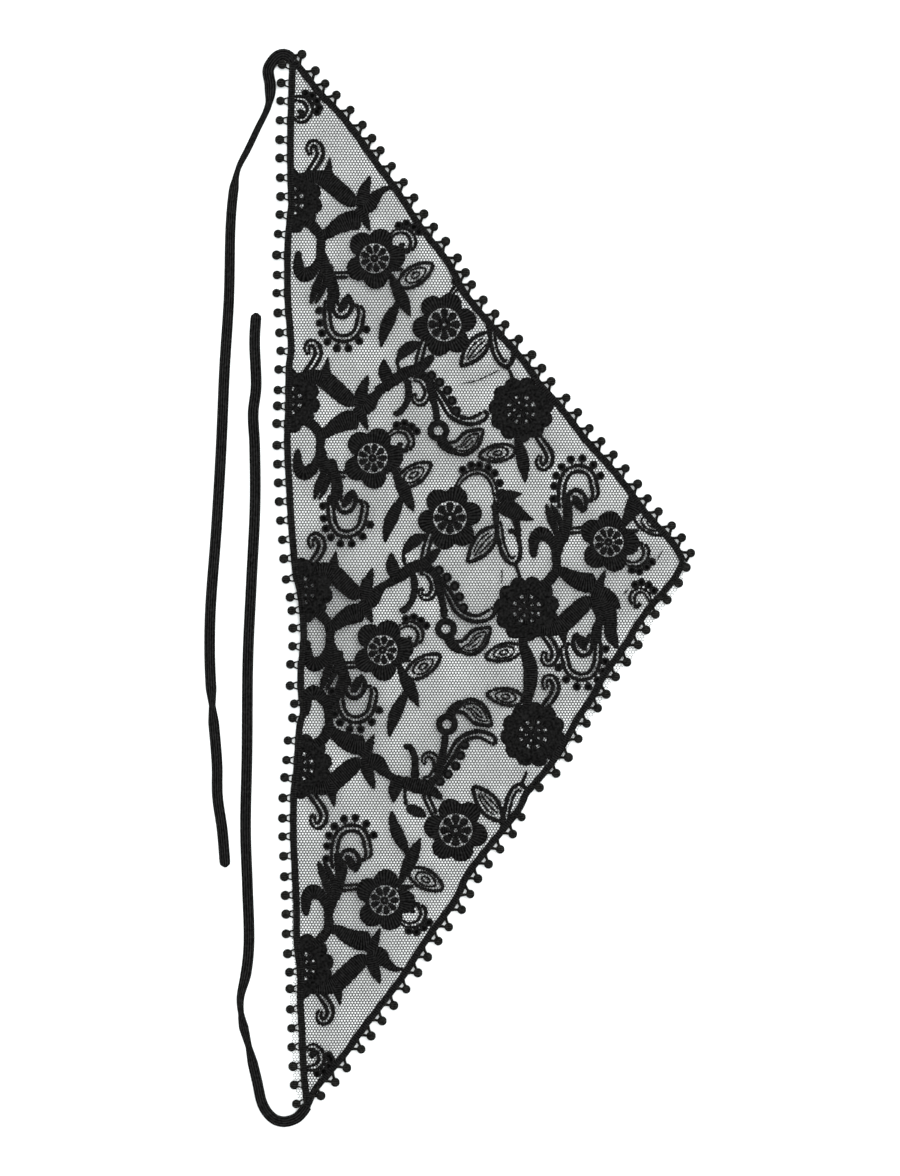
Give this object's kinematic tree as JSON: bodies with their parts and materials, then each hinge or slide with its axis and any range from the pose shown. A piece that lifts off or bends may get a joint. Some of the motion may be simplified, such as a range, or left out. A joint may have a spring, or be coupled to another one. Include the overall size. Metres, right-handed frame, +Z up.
{
  "type": "lace sarong",
  "caption": "Triangular embroidered tulle wrap with bound edges, a trim of small balls and a flat tie at each end of the waist, laid flat.",
  "frame": {"origin": "on the surface under the middle of the sarong, without its ties", "axes": "+Y along the waist edge towards the upper tie, +X towards the sarong's point, +Z up from the surface it lies on"},
  "size_m": [0.5161, 1.13, 0.0102],
  "materials": {
    "tulle": "fine black hexagonal net with raised black satin-stitch embroidery",
    "tape": "black woven tape, low sheen",
    "balls": "black cord and thread-wound balls, matt",
    "tie": "black flat ribbed tape, low sheen"
  },
  "bodies": {
    "root": {"lace_panel": "tulle", "waist_binding": "tape", "upper_hem_binding": "tape", "lower_hem_binding": "tape", "waist_ball_trim": "balls", "upper_hem_ball_trim": "balls", "lower_hem_ball_trim": "balls", "upper_tie": "tie", "lower_tie": "tie"}
  },
  "joints": []
}
